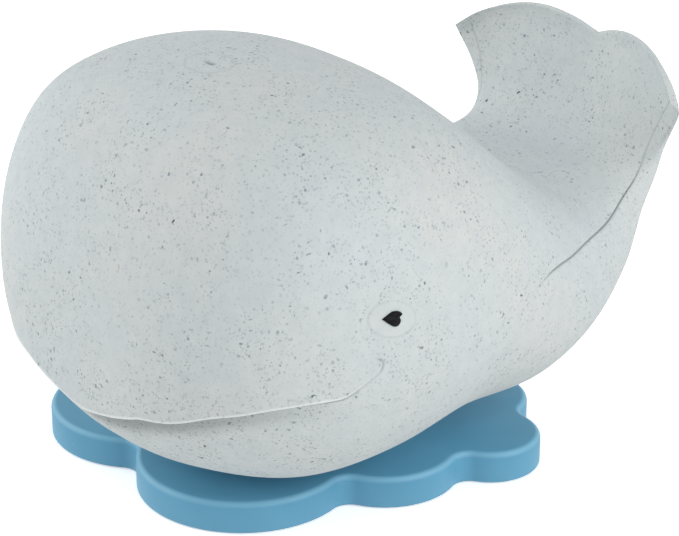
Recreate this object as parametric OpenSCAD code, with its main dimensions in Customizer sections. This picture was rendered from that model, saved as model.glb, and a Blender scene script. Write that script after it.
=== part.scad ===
// Squeaky bath toy: a hollow rubber whale that sits on a splash-shaped base.
// A ribbed plug on the base closes the neck in the whale's belly and holds a reed squeaker.
// Origin: on the plug's axis, on the surface that the base stands on. The whale looks along -X.

/* [Whale] */
// Length from forehead to tail
body_len = 144; // [125:1:165]
// Width across the cheeks
body_w = 104; // [92:1:116]
// Height of the moulded form
body_h = 89; // [80:1:100]
// Thickness of the rubber wall
wall = 3; // [2:0.25:4]
// How far the jaw is set back under the upper lip
lip_step = 1.4; // [0.8:0.1:2]
// Depth to which the belly is sunk below the sole before the sole is cut flat
sole_sink = 2; // [1.5:0.25:3]
// Diameter of the dimple at the blowhole
blowhole_d = 5; // [3:0.5:8]
// Depth of that dimple
blowhole_depth = 1; // [0.5:0.1:1.5]

/* [Eyes] */
// Diameter of the round end of a painted pupil
pupil_d = 3.2; // [2.5:0.1:5]
// Distance from the pupil's round end to its point
pupil_point = 3; // [2.5:0.1:4.5]
// Depth of the socket that holds the paint
pupil_depth = 0.8; // [0.5:0.1:1.2]
// How far the paint stands proud of the skin
pupil_proud = 0.2; // [0.1:0.05:0.4]

/* [Neck and plug] */
// Bore of the neck in the belly
neck_d = 26; // [25:0.5:29]
// Height of the neck above the sole
neck_h = 14; // [12:0.5:17]
// Thickness of the collar round the neck
collar_t = 3.5; // [2.5:0.25:5]
// Height of the plug above the base plate
plug_h = 13; // [12:0.5:16]
// Depth of the sealing ribs on the plug
rib_depth = 0.7; // [0.4:0.1:1]
// Width of a sealing rib
rib_w = 2.4; // [1.6:0.1:3]
// Number of sealing ribs
rib_count = 2; // [1:1:3]
// Lead-in at the plug's upper edge
plug_lead = 0.8; // [0.4:0.1:1.2]

/* [Splash base] */
// Thickness of the splash plate
base_t = 7; // [5.5:0.5:10]
// Reach of the foremost lobe from the plug's axis
splash_reach = 50; // [46:1:58]
// Radius of the inner curve between two lobes
notch_r = 4; // [2.5:0.5:6]
// Radius of the plate's rounded upper edge
edge_r = 1.4; // [0.8:0.1:2.4]
// Bore of the air hole under the squeaker
air_d = 5; // [4:0.5:7]

/* [Squeaker] */
// Outer diameter of the squeaker's case
case_d = 18; // [17:0.25:19]
// Height of the case below its flange
case_h = 10; // [8.5:0.5:11]
// Wall of the case
case_wall = 1; // [0.8:0.1:1.2]
// Thickness of the case's floor
case_floor = 1.2; // [0.8:0.1:1.6]
// Width of the case's flange beyond its wall
flange_w = 2; // [1.5:0.1:2.3]
// Thickness of the flange
flange_t = 1.2; // [1:0.1:1.6]
// Height of the air chamber under the reed plate
chamber_h = 3; // [2:0.25:3.5]
// Width of the ledge that carries the reed plate
ledge_w = 1.2; // [0.8:0.1:1.6]
// Thickness of the reed plate
reed_plate_t = 1.2; // [0.8:0.1:1.6]
// Thickness of the perforated cap
cap_t = 1.2; // [0.8:0.1:1.4]
// Width of the seat that carries the cap
cap_seat_w = 0.6; // [0.4:0.1:0.8]
// Diameter of a sound hole in the cap
sound_hole_d = 2; // [1.2:0.1:2.4]
// Number of sound holes round the middle one
sound_hole_count = 6; // [4:1:8]
// Length of the reed
reed_len = 11; // [9.5:0.25:12]
// Width of the reed
reed_w = 4; // [3:0.25:4.5]
// Thickness of the reed
reed_t = 0.25; // [0.2:0.05:0.4]
// Length of the reed that lies under the clamp
reed_root = 1.8; // [1.2:0.1:2.2]
// Width of the clamp along the reed
clamp_w = 2.6; // [2.4:0.1:3]
// Thickness of the clamp over the reed
clamp_t = 1.2; // [0.8:0.1:1.6]
// Width of a clamp foot beside the reed
clamp_foot = 1.7; // [1.4:0.1:2]
// Diameter of a clamp peg
peg_d = 1; // [0.8:0.1:1.2]

/* [Hidden] */

// Clearances: plug in neck, pieces of the squeaker, paint in its socket, reed in its channel
plug_clear = 0.05;
fit_clear = 0.05;
paint_clear = 0.05;
reed_clear = 0.15;
// Free space under the squeaker's case, and the common overrun of cuts
pocket_gap = 0.5;
overrun = 1;

// Heights of the stack on the plug's axis
plug_top = base_t + plug_h;
case_z = plug_top - case_h;
ledge_z = case_z + case_floor + chamber_h;
reed_plate_top = ledge_z + reed_plate_t;
reed_z = reed_plate_top + reed_clear;
case_top = plug_top + flange_t;
pocket_z = case_z - pocket_gap;

// Radii of the plug and the squeaker
neck_r = neck_d / 2;
collar_r = neck_r + collar_t;
rib_r = neck_r - plug_clear;
plug_r = rib_r - rib_depth;
case_r = case_d / 2;
case_inner_r = case_r - case_wall;
chamber_r = case_inner_r - ledge_w;
cap_seat_r = case_inner_r + cap_seat_w;
cap_r = cap_seat_r - fit_clear;

// Places along the reed
reed_root_x = -reed_len / 2;
reed_tip_x = reed_len / 2;
clamp_front_x = reed_root_x + reed_root;
clamp_back_x = clamp_front_x - clamp_w;
clamp_channel_w = reed_w + 2 * reed_clear;
clamp_len = clamp_channel_w + 2 * clamp_foot;
peg_y = clamp_channel_w / 2 + clamp_foot / 2;
peg_x = (clamp_front_x + clamp_back_x) / 2;

// The whale's skin is a loft through upright ovals, from the forehead to the edge of the flukes.
// Shares of length and height: upper point x z, lower point x z. Then the share of half the width,
// the share of the way up at which the oval is widest, the powers of its upper and lower half,
// and the share of the fluke's outline that the oval takes on.
station_shares = [
    [0.000, 0.460, 0.000, 0.460, 0.000, 0.50, 2.0, 2.0, 0.00],
    [0.007, 0.640, 0.013, 0.267, 0.450, 0.50, 2.3, 2.1, 0.00],
    [0.049, 0.818, 0.066, 0.160, 0.715, 0.50, 2.5, 2.1, 0.00],
    [0.126, 0.960, 0.143, 0.090, 0.890, 0.49, 2.7, 2.1, 0.00],
    [0.222, 1.006, 0.248, 0.033, 0.980, 0.48, 2.7, 2.1, 0.00],
    [0.340, 1.003, 0.375, 0.012, 1.000, 0.46, 2.6, 1.9, 0.00],
    [0.458, 0.946, 0.515, 0.052, 0.955, 0.45, 2.5, 1.9, 0.00],
    [0.563, 0.828, 0.655, 0.084, 0.870, 0.43, 2.35, 2.25, 0.00],
    [0.660, 0.690, 0.785, 0.152, 0.750, 0.42, 2.3, 2.25, 0.00],
    [0.743, 0.585, 0.887, 0.280, 0.645, 0.45, 2.6, 2.2, 0.00],
    [0.825, 0.557, 0.955, 0.427, 0.548, 0.47, 3.4, 2.2, 0.07],
    [0.885, 0.565, 0.990, 0.540, 0.525, 0.47, 3.1, 2.3, 0.19],
    [0.924, 0.612, 0.999, 0.630, 0.547, 0.48, 2.5, 2.3, 0.35],
    [0.953, 0.685, 1.000, 0.708, 0.605, 0.50, 2.2, 2.2, 0.54],
    [0.976, 0.758, 1.000, 0.770, 0.660, 0.50, 2.2, 2.2, 0.77],
    [0.986, 0.792, 1.000, 0.798, 0.665, 0.50, 2.2, 2.2, 0.92],
    [0.991, 0.810, 0.991, 0.810, 0.625, 0.50, 2.0, 2.0, 1.00]
];
// The fluke's edge from its notch to its tip: shifts along the length and up the height
fluke_x_shares = [0, -0.006, -0.015, -0.024, -0.032, -0.042, -0.054, -0.067, -0.082];
fluke_z_shares = [0, 0.02, 0.035, 0.043, 0.041, 0.031, 0.013, -0.012, -0.051];
// Roundness of the trough that leads up to the notch, as a share of half the width
trough_share = 0.6;
// Share of the length that lies before the plug's axis
plug_at_share = 0.472;
body_x = -plug_at_share * body_len;
body_z = base_t - sole_sink;
half_w = body_w / 2;

// Where the loft of the skin, of the jaw and of the inside end, as shares of the row of stations
station_count = len(station_shares) - 1;
tail_end_share = 0.994;
jaw_end_share = 0.275;
inside_end_share = 0.625;
tail_end = tail_end_share * station_count;
jaw_end = jaw_end_share * station_count;
inside_end = inside_end_share * station_count;
// Rings between two stations, and points on a ring
skin_steps = 2.5;
inside_steps = 2;
skin_sides = 36;
inside_sides = 28;
// Small steps for the direction of the skin, as shares of the row of stations and of a turn
station_step_share = 0.00125;
turn_step_share = 0.0028;
station_step = station_step_share * station_count;
angle_step = turn_step_share * 360;

// The mouth: heights of its lip from the middle to the cheeks, and where it ends along the length
lip_shares = [0.278, 0.287, 0.306, 0.327, 0.347, 0.369, 0.392, 0.411, 0.416];
mouth_end_share = 0.205;
lip_steps = 24;
// Part of the row of stations in which the set-back of the jaw fades, and what is left of it
jaw_fade_shares = [0.1125, 0.225];
jaw_rest_share = 0.08;

// Places on the skin as shares of the row of stations and of a turn from the right flank over the back
eye_place_shares = [0.268, 0.4851];
blowhole_place_shares = [0.2656, 0.25];
// Straight steps round a pupil's round end
pupil_steps = 24;

// Lobes of the splash: place along and across and radius, as shares of the reach
lobe_shares = [
    [-0.54, -0.02, 0.456], [-0.04, -0.34, 0.32], [0.38, -0.54, 0.22], [0.56, -0.24, 0.24],
    [0.56, 0.22, 0.26], [0.24, 0.56, 0.32], [-0.16, 0.76, 0.26], [-0.57, 0.66, 0.40]
];
lobe_steps = 16;
notch_steps = 6;
edge_steps = 4;

function spline(p, t) =
    let (n = len(p), i = min(floor(t), n - 2), u = t - i)
    let (b = p[i], c = p[i + 1])
    let (a = i > 0 ? p[i - 1] : 2 * b - c, d = i + 2 < n ? p[i + 2] : 2 * c - b)
    (2 * b + (c - a) * u + (2 * a - 5 * b + 4 * c - d) * u * u + (3 * b - a - 3 * c + d) * u * u * u) / 2;

function unit(v) = v / norm(v);

// Point of the skin at a station and an angle
function skin_point(t, angle) =
    let (s = spline(station_shares, t), up = sin(angle) >= 0)
    let (power = 2 / (up ? s[6] : s[7]), lift = pow(abs(sin(angle)), power))
    let (side = sign(cos(angle)) * pow(abs(cos(angle)), power))
    let (level = up ? s[5] + (1 - s[5]) * lift : s[5] * (1 - lift))
    let (soft = trough_share * (1 - s[8]), reach = norm([1, soft]) - soft)
    let (v = (norm([side, soft]) - soft) / reach * (len(fluke_x_shares) - 1))
    [
        body_x + body_len * (s[2] + level * (s[0] - s[2]) + s[8] * spline(fluke_x_shares, v)),
        side * s[4] * half_w,
        body_z + body_h * (s[3] + level * (s[1] - s[3]) + s[8] * spline(fluke_z_shares, v))
    ];

function skin_normal(t, angle) =
    t <= station_step ? [-1, 0, 0] :
    let (around = skin_point(t, angle + angle_step) - skin_point(t, angle - angle_step))
    let (along = skin_point(t + station_step, angle) - skin_point(t - station_step, angle))
    unit(cross(around, along));

function inset_point(t, angle, depth) = skin_point(t, angle) - depth * skin_normal(t, angle);

// Depth of the jaw below the skin, which fades out towards the corners of the mouth
function jaw_depth(t) =
    let (along = t / station_count, from = jaw_fade_shares[0], to = jaw_fade_shares[1])
    let (u = max(0, min(1, (along - from) / (to - from))))
    lip_step * (1 - (1 - jaw_rest_share) * u * u * (3 - 2 * u));

function lip_height(y) =
    body_z + body_h * spline(lip_shares, (len(lip_shares) - 1) * abs(y) / half_w);

// Faces of a loft that starts at a pole and ends in a strip across its last ring
function loft_faces(rings, sides) =
    let (last = 1 + (rings - 1) * sides, half = sides / 2)
    [
        for (j = [0 : sides - 1]) [0, 1 + j, 1 + (j + 1) % sides],
        for (i = [0 : rings - 2], j = [0 : sides - 1])
            let (a = 1 + i * sides + j, b = 1 + i * sides + (j + 1) % sides)
            each [[a, a + sides, b], [b, a + sides, b + sides]],
        [last, last + sides - 1, last + 1],
        for (j = [1 : half - 2])
            let (a = last + j, d = last + sides - j)
            each [[a, d - 1, a + 1], [a, d, d - 1]],
        [last + half - 1, last + half + 1, last + half]
    ];

// Loft that lies under the skin by a depth given for each station in turn
module skin_loft(end, sides, depths) {
    rings = len(depths) - 1;
    points = [
        inset_point(0, 0, depths[0]),
        for (i = [1 : rings], j = [0 : sides - 1])
            inset_point(end * i / rings, 360 * j / sides, depths[i])
    ];
    polyhedron(points, loft_faces(rings, sides));
}

module outer_form() {
    rings = round(tail_end * skin_steps);
    skin_loft(tail_end, skin_sides, [for (i = [0 : rings]) 0]);
}

module jaw_form() {
    rings = round(jaw_end * skin_steps);
    skin_loft(jaw_end, skin_sides, [for (i = [0 : rings]) jaw_depth(jaw_end * i / rings)]);
}

module inside_form() {
    rings = round(inside_end * inside_steps);
    difference() {
        skin_loft(inside_end, inside_sides, [for (i = [0 : rings]) wall]);
        floor_slab(base_t + wall);
    }
}

// Everything below a height
module floor_slab(top) {
    translate([-body_len, -body_w, top - body_h])
        cube([2 * body_len, 2 * body_w, body_h]);
}

// The space below the mouth, seen from the front
module mouth_cut() {
    outline = [
        for (i = [-lip_steps : lip_steps])
            let (y = half_w * i / lip_steps) [y, lip_height(y)],
        [half_w, body_z - overrun],
        [-half_w, body_z - overrun]
    ];
    translate([body_x - overrun, 0, 0])
        rotate([90, 0, 90])
            linear_extrude(mouth_end_share * body_len + overrun)
                polygon(outline);
}

// Puts what follows on the skin at a place, with its Z axis pointing out
module on_skin(place_shares) {
    t = place_shares[0] * station_count;
    angle = place_shares[1] * 360;
    out = skin_normal(t, angle);
    translate(skin_point(t, angle))
        rotate([0, acos(out[2]), atan2(out[1], out[0])])
            children();
}

// A pupil's outline: a round end that runs to a point towards the forehead
module pupil_outline(grow) {
    r = pupil_d / 2 + grow;
    point = pupil_point + grow;
    touch = acos(r / point);
    polygon([
        [0, -point],
        for (i = [0 : pupil_steps])
            let (a = touch - 90 + (360 - 2 * touch) * i / pupil_steps) r * [cos(a), sin(a)]
    ]);
}

module pupil_socket() {
    on_skin(eye_place_shares)
        translate([0, 0, -pupil_depth])
            linear_extrude(pupil_depth + overrun)
                pupil_outline(paint_clear);
}

module pupil() {
    color("black")
        on_skin(eye_place_shares)
            translate([0, 0, -pupil_depth])
                linear_extrude(pupil_depth + pupil_proud)
                    pupil_outline(0);
}

module blowhole() {
    ball_r = (blowhole_d * blowhole_d / 4 + blowhole_depth * blowhole_depth) / (2 * blowhole_depth);
    on_skin(blowhole_place_shares)
        translate([0, 0, ball_r - blowhole_depth])
            sphere(ball_r, $fn = 48);
}

module whale_body() {
    color("gainsboro")
        difference() {
            union() {
                difference() {
                    union() {
                        difference() {
                            outer_form();
                            mouth_cut();
                        }
                        jaw_form();
                    }
                    inside_form();
                }
                translate([0, 0, base_t])
                    cylinder(h = neck_h, r = collar_r, $fn = 96);
            }
            translate([0, 0, base_t - overrun])
                cylinder(h = neck_h + 2 * overrun, r = neck_r, $fn = 96);
            floor_slab(base_t);
            blowhole();
            pupil_socket();
            mirror([0, 1, 0])
                pupil_socket();
        }
}

module eye_left() {
    pupil();
}

module eye_right() {
    mirror([0, 1, 0])
        pupil();
}

// Centre of the curve between two lobes, which touches both from outside
function notch_centre(p, q) =
    let (c1 = [p[0], p[1]] * splash_reach, c2 = [q[0], q[1]] * splash_reach)
    let (r1 = p[2] * splash_reach + notch_r, r2 = q[2] * splash_reach + notch_r)
    let (d = norm(c2 - c1), along = (d * d + r1 * r1 - r2 * r2) / (2 * d))
    let (out = sqrt(r1 * r1 - along * along), e = (c2 - c1) / d)
    c1 + along * e + out * [e[1], -e[0]];

function heading(v) = atan2(v[1], v[0]);

// Angle that follows another one in the positive sense
function after(a, b) = b < a ? after(a, b + 360) : b > a + 360 ? after(a, b - 360) : b;

// The splash's outline, drawn in by a distance: lobes as arcs, joined by the curves between them
function splash_outline(inset) = [
    for (i = [0 : len(lobe_shares) - 1])
        let (n = len(lobe_shares))
        let (lobe = lobe_shares[i], c = [lobe[0], lobe[1]] * splash_reach, r = lobe[2] * splash_reach)
        let (before = notch_centre(lobe_shares[(i + n - 1) % n], lobe))
        let (next = notch_centre(lobe, lobe_shares[(i + 1) % n]))
        let (follower = lobe_shares[(i + 1) % n], c2 = [follower[0], follower[1]] * splash_reach)
        let (a0 = heading(before - c), a1 = after(a0, heading(next - c)))
        let (b0 = heading(c - next), b1 = after(b0, heading(c2 - next)) - 360)
        each concat(
            [for (k = [0 : lobe_steps])
                let (a = a0 + (a1 - a0) * k / lobe_steps) c + (r - inset) * [cos(a), sin(a)]],
            [for (k = [1 : notch_steps - 1])
                let (b = b0 + (b1 - b0) * k / notch_steps) next + (notch_r + inset) * [cos(b), sin(b)]]
        )
];

// The plate's rounded upper edge, as rings of the outline drawn in along a quarter circle
module splash_edge() {
    levels = [for (k = [0 : edge_steps]) 90 * k / edge_steps];
    rings = [for (a = levels) splash_outline(edge_r * (1 - cos(a)))];
    n = len(rings[0]);
    foot = n * len(rings);
    last = n * edge_steps;
    points = [
        for (k = [0 : edge_steps], p = rings[k]) [p[0], p[1], base_t - edge_r + edge_r * sin(levels[k])],
        [0, 0, base_t - edge_r],
        [0, 0, base_t]
    ];
    faces = [
        for (k = [0 : edge_steps - 1], j = [0 : n - 1])
            let (a = k * n + j, b = k * n + (j + 1) % n)
            each [[a, a + n, b], [b, a + n, b + n]],
        for (j = [0 : n - 1])
            let (k = (j + 1) % n)
            each [[foot, j, k], [foot + 1, last + k, last + j]]
    ];
    polyhedron(points, faces);
}

// Half section of the plug with its sealing ribs
module plug_section() {
    rib_pitch = plug_h / (rib_count + 1);
    polygon([
        [0, base_t - edge_r],
        [plug_r, base_t - edge_r],
        [plug_r, plug_top - plug_lead],
        [plug_r - plug_lead, plug_top],
        [0, plug_top]
    ]);
    for (i = [1 : rib_count])
        translate([0, base_t + i * rib_pitch])
            polygon([
                [plug_r - rib_depth, -rib_w / 2 - rib_depth],
                [rib_r, -rib_w / 2 + rib_depth],
                [rib_r, rib_w / 2 - rib_depth],
                [plug_r - rib_depth, rib_w / 2 + rib_depth]
            ]);
}

module splash_base() {
    color("steelblue")
        difference() {
            union() {
                linear_extrude(base_t - edge_r)
                    polygon(splash_outline(0));
                splash_edge();
                rotate_extrude($fn = 96)
                    plug_section();
            }
            translate([0, 0, pocket_z])
                cylinder(h = plug_h + base_t, r = case_r + fit_clear, $fn = 96);
            translate([0, 0, -overrun])
                cylinder(h = pocket_z + 2 * overrun, d = air_d, $fn = 48);
        }
}

module squeaker_case() {
    color("white")
        rotate_extrude($fn = 96)
            polygon([
                [air_d / 2, case_z],
                [case_r, case_z],
                [case_r, plug_top],
                [case_r + flange_w, plug_top],
                [case_r + flange_w, case_top],
                [cap_seat_r, case_top],
                [cap_seat_r, case_top - cap_t],
                [case_inner_r, case_top - cap_t],
                [case_inner_r, ledge_z],
                [chamber_r, ledge_z],
                [chamber_r, case_z + case_floor],
                [air_d / 2, case_z + case_floor]
            ]);
}

// A box from one X to another, centred across, between two heights
module bar(x0, x1, width, z0, z1) {
    translate([x0, -width / 2, z0])
        cube([x1 - x0, width, z1 - z0]);
}

module at_pegs() {
    for (side = [-1, 1])
        translate([peg_x, side * peg_y, 0])
            children();
}

module reed_plate() {
    color("ivory")
        difference() {
            translate([0, 0, ledge_z])
                cylinder(h = reed_plate_t, r = case_inner_r - fit_clear, $fn = 96);
            bar(clamp_front_x, reed_tip_x + reed_clear, clamp_channel_w,
                ledge_z - overrun, reed_plate_top + overrun);
            translate([0, 0, ledge_z - overrun])
                at_pegs()
                    cylinder(h = reed_plate_t + 2 * overrun, d = peg_d + 2 * fit_clear, $fn = 32);
        }
}

module reed() {
    color("goldenrod")
        bar(reed_root_x, reed_tip_x, reed_w, reed_z, reed_z + reed_t);
}

module reed_clamp() {
    channel_top = reed_z + reed_t + reed_clear;
    color("ivory") {
        difference() {
            bar(clamp_back_x, clamp_front_x, clamp_len, reed_plate_top, channel_top + clamp_t);
            bar(reed_root_x - reed_clear, clamp_front_x + overrun, clamp_channel_w,
                reed_plate_top - overrun, channel_top);
        }
        translate([0, 0, ledge_z])
            at_pegs()
                cylinder(h = reed_plate_t + clamp_t, d = peg_d, $fn = 32);
    }
}

module squeaker_cap() {
    color("white")
        difference() {
            translate([0, 0, case_top - cap_t])
                cylinder(h = cap_t, r = cap_r, $fn = 96);
            translate([0, 0, case_top - cap_t - overrun]) {
                cylinder(h = cap_t + 2 * overrun, d = sound_hole_d, $fn = 32);
                for (i = [0 : sound_hole_count - 1])
                    rotate(360 * i / sound_hole_count)
                        translate([cap_r / 2, 0, 0])
                            cylinder(h = cap_t + 2 * overrun, d = sound_hole_d, $fn = 32);
            }
        }
}

whale_body();
eye_left();
eye_right();
splash_base();
squeaker_case();
reed_plate();
reed();
reed_clamp();
squeaker_cap();
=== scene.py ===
"""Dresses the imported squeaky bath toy: a speckled rubber whale on a blue splash base."""

import math

import bpy
import numpy as np
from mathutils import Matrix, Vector
from mathutils.bvhtree import BVHTree
from mathutils.kdtree import KDTree


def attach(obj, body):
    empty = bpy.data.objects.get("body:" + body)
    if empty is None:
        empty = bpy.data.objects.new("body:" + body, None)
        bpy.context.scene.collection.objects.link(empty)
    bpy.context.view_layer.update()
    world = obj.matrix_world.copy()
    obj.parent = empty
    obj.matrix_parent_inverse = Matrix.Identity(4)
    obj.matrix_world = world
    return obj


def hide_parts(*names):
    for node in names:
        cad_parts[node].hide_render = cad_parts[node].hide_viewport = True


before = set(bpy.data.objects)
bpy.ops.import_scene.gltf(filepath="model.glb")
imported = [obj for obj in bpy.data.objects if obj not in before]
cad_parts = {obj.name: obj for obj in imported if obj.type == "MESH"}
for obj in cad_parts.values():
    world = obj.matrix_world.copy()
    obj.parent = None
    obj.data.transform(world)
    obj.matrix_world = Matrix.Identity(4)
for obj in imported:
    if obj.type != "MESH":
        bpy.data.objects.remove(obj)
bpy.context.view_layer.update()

bl_info = {
    "name": "Squeaky Bath Toy",
    "version": (1, 0, 0),
    "blender": (4, 5, 0),
    "location": "View3D > Sidebar > Bath Toy",
    "description": "Builds a speckled rubber whale on its splash base round the packed frame",
    "category": "Add Mesh",
}

MM = 0.001

# The whale's moulded form in millimetres, as in the part's source
BODY_LEN, BODY_W, BODY_H = 144.0, 104.0, 89.0
BODY_X, BODY_Z = -67.968, 5.0
HALF_W = BODY_W / 2
WALL = 3.0
# Stations from the forehead to the flukes' edge: upper x z, lower x z, half width, widest level,
# powers of the upper and lower half, share of the fluke's outline
STATION_SHARES = np.array([
    [0.000, 0.460, 0.000, 0.460, 0.000, 0.50, 2.0, 2.0, 0.00],
    [0.007, 0.640, 0.013, 0.267, 0.450, 0.50, 2.3, 2.1, 0.00],
    [0.049, 0.818, 0.066, 0.160, 0.715, 0.50, 2.5, 2.1, 0.00],
    [0.126, 0.960, 0.143, 0.090, 0.890, 0.49, 2.7, 2.1, 0.00],
    [0.222, 1.006, 0.248, 0.033, 0.980, 0.48, 2.7, 2.1, 0.00],
    [0.340, 1.003, 0.375, 0.012, 1.000, 0.46, 2.6, 1.9, 0.00],
    [0.458, 0.946, 0.515, 0.052, 0.955, 0.45, 2.5, 1.9, 0.00],
    [0.563, 0.828, 0.655, 0.084, 0.870, 0.43, 2.35, 2.25, 0.00],
    [0.660, 0.690, 0.785, 0.152, 0.750, 0.42, 2.3, 2.25, 0.00],
    [0.743, 0.585, 0.887, 0.280, 0.645, 0.45, 2.6, 2.2, 0.00],
    [0.825, 0.557, 0.955, 0.427, 0.548, 0.47, 3.4, 2.2, 0.07],
    [0.885, 0.565, 0.990, 0.540, 0.525, 0.47, 3.1, 2.3, 0.19],
    [0.924, 0.612, 0.999, 0.630, 0.547, 0.48, 2.5, 2.3, 0.35],
    [0.953, 0.685, 1.000, 0.708, 0.605, 0.50, 2.2, 2.2, 0.54],
    [0.976, 0.758, 1.000, 0.770, 0.660, 0.50, 2.2, 2.2, 0.77],
    [0.986, 0.792, 1.000, 0.798, 0.665, 0.50, 2.2, 2.2, 0.92],
    [0.992, 0.809, 0.992, 0.809, 0.652, 0.50, 2.0, 2.0, 1.00],
])
FLUKE_X_SHARES = np.array([0, -0.006, -0.015, -0.024, -0.032, -0.042, -0.054, -0.067, -0.082])
FLUKE_Z_SHARES = np.array([0, 0.02, 0.035, 0.043, 0.041, 0.031, 0.013, -0.012, -0.051])
TROUGH_SHARE = 0.6
LIP_SHARES = np.array([0.278, 0.287, 0.306, 0.327, 0.347, 0.369, 0.392, 0.411, 0.416])
LAST_STATION = len(STATION_SHARES) - 1.0
RIM_STATION = LAST_STATION - 1.0
RIM_TAPER = 0.25
INSIDE_STATION = 10.0

# The lip on the left flank by station and degrees
LIP_PLACES = np.array([
    [0.96, 270], [0.92, 250], [0.98, 228], [1.15, 214.5], [1.75, 201], [2.4, 196],
    [3.05, 193.5], [3.55, 191.5], [3.7, 190], [3.85, 187.5], [3.98, 185.5], [4.07, 183.8],
    [4.1, 182.2], [4.09, 181.2], [4.03, 180.6],
])
# The mould's seam towards the tail by station and share of the way up from the widest level
SEAM_PLACES = np.array([
    [6.45, 0.13], [7.0, 0.24], [7.6, 0.31], [8.3, 0.38], [9.0, 0.415], [9.8, 0.43], [10.5, 0.465],
    [11.2, 0.5], [12.3, 0.51], [13.7, 0.49], [15.0, 0.47],
])
EYE_PAD_AT = np.array([-30.1, -51.3, 56.5])
EYE_PAD_LONG, EYE_PAD_TALL, EYE_PAD_LEAN, EYE_PAD_DEEP = 5.2, 3.6, 0.2, 4.0
BLOWHOLE_AT = np.array([-33.4, -0.4, 94.8])
BLOWHOLE_REACH, BLOWHOLE_RING = 0.9, 4.5
# Nicks of the mould, on the left flank and the back only: two ends of each
NICKS = np.array([
    [[-50.2, -44.6, 43.2], [-47.6, -46.0, 42.4]],
    [[-47.4, -46.2, 43.3], [-46.2, -46.6, 42.3]],
    [[-1.5, -20.5, 86.3], [3.0, -22.0, 84.2]],
])
FAR_AWAY = 99.0

# Ridges and grooves of the mould across their lines: middle and half width in millimetres
LIP_GROOVE, LIP_BEAD, SEAM_LINE, SEAM_EDGE = (-0.2, 0.26), (0.4, 0.23), (0.0, 0.19), (-0.75, 0.5)
LIP_HOLLOW_FROM, LIP_HOLLOW_FADE = 2.4, 2.2
LIP_BEAD_RISE, LIP_HOLLOW_DEPTH, SEAM_EDGE_RISE = 0.28, 0.4, 0.08
# How far from its line each of them is drawn
LIP_NEAR, BEAD_NEAR, HOLLOW_NEAR, SEAM_NEAR, SEAM_EDGE_NEAR = 2.5, 6.0, 9.0, 2.0, 3.0
# Where the skin steps back below the lip, in millimetres, and the stations where this step ends
LIP_STEP_ACROSS, LIP_STEP_ENDS = (-0.22, 0.16), (1.8, 4.15)
# Changes of a line's strength along it: share from, share to, change
GROOVE_RUN = ((0.5, 0.66, -0.75), (0.74, 0.82, 0.35), (0.97, 1.0, -0.35))
BEAD_RUN = ((0.42, 0.8, -1.0),)
HOLLOW_RUN = ((0.2, 0.55, -1.0),)
SEAM_RUN = ((0.0, 0.13, 1.0), (0.54, 0.81, -0.65), (0.95, 1.0, -0.35))
# Marks round the eye pads, blowhole and nicks: middle, half width, rise, share of the painted line
# shade
PAD_MARKS = ((0.35, 0.25, -0.03, 0.0), (0.15, 0.2, 0.0, 0.16))
BLOWHOLE_MARKS = (
    (0.0, 0.5, -0.55, 0.9), (0.0, 1.6, -0.12, 0.0), (2.4, 0.6, 0.05, 0.0),
    (BLOWHOLE_RING, 0.28, -0.08, 0.22),
)
NICK_MARKS = ((0.0, 0.22, -0.16, 0.45),)
PAD_EDGE = (-0.25, 0.25)
JAW_EDGE, JAW_FLECKS = (-0.3, 0.3), 0.9
# Share of painted shade in the hollow under the lip, strength of the painted highlight on the lip's
# bead, and the painted shade below which that highlight is laid
HOLLOW_SHADE, BEAD_HIGHLIGHT, BEAD_BESIDE = 0.8, 0.6, 0.1
# Edges of the skin's mesh: length at the lines, growth away from them, and how wide the lines are
FINE_EDGE, SEAM_FINE_EDGE, LONGEST_EDGE, EDGE_GROWTH = 0.24, 0.15, 3.0, 0.45
LIP_WIDE, SEAM_WIDE, MARK_WIDE, SLIT_WIDE = 1.1, 0.5, 0.4, 1.3
OUTER_GRID, INNER_GRID, REFINE_PASSES = (112, 144), (40, 64), 5
LIP_SAMPLES, SEAM_SAMPLES = 420, 240
# Steps of angle and station that give the skin's direction, and how far it is taken from the ends
NORMAL_STEPS, NORMAL_MARGIN = np.array([[0.0, 0.012], [0.02, 0.0]]), 0.03
WELD_PER_MM = 1e4

# Neck, plug and splash base in millimetres, as in the part's source
NECK_R, NECK_TOP, COLLAR_R = 13.0, 21.0, 16.5
BASE_T, PLUG_TOP = 7.0, 20.0
PLUG_R, RIB_R, RIB_W, PLUG_LEAD = 12.25, 12.95, 2.4, 0.8
RIB_DEPTH = RIB_R - PLUG_R
RIB_COUNT, RIB_STEPS = 2, 9
PLUG_FILLET, POCKET_EDGE, AIR_EDGE, FILLET_SHARE, LEAD_SHARE = 0.5, 0.25, 0.3, 0.3, 0.35
POCKET_R, POCKET_Z, AIR_R = 9.05, 9.5, 2.5
ROUND_SIDES = 96
NOTCH_R = 4.0
OUTLINE_SPACING, NOTCH_SPACING, LOBE_STEPS, NOTCH_STEPS = 0.9, 0.54, 8, 6
# Steps round each rounded edge, and the painted highlight along the lower edge
EDGE_STEPS, FOOT_HIGHLIGHT = 9, 0.3
# Lobes of the splash: place along and across, radius
LOBES = np.array([
    [-27.0, -1.0, 22.8], [-2.0, -17.0, 16.0], [19.0, -27.0, 11.0], [28.0, -12.0, 12.0],
    [28.0, 11.0, 13.0], [12.0, 28.0, 16.0], [-8.0, 38.0, 13.0], [-28.5, 33.0, 20.0],
])
# A pupil's brushed outline about its middle: back along the flank and up
PUPIL_AT = np.array([-29.6, 56.6])
PUPIL_OUTLINE = np.array([
    [-3.0, 0.6], [-1.9, 1.1], [-1.0, 1.5], [-0.4, 1.6], [0.7, 1.4], [1.3, 1.0], [1.6, 0.6],
    [1.4, 0.3], [1.0, 0.1], [1.2, -0.4], [1.2, -0.9], [0.7, -1.5], [0.0, -1.6], [-0.7, -1.3],
    [-1.6, -0.6], [-2.4, 0.1],
])
PUPIL_SAMPLES, PUPIL_SINK = 96, 0.2
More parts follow.
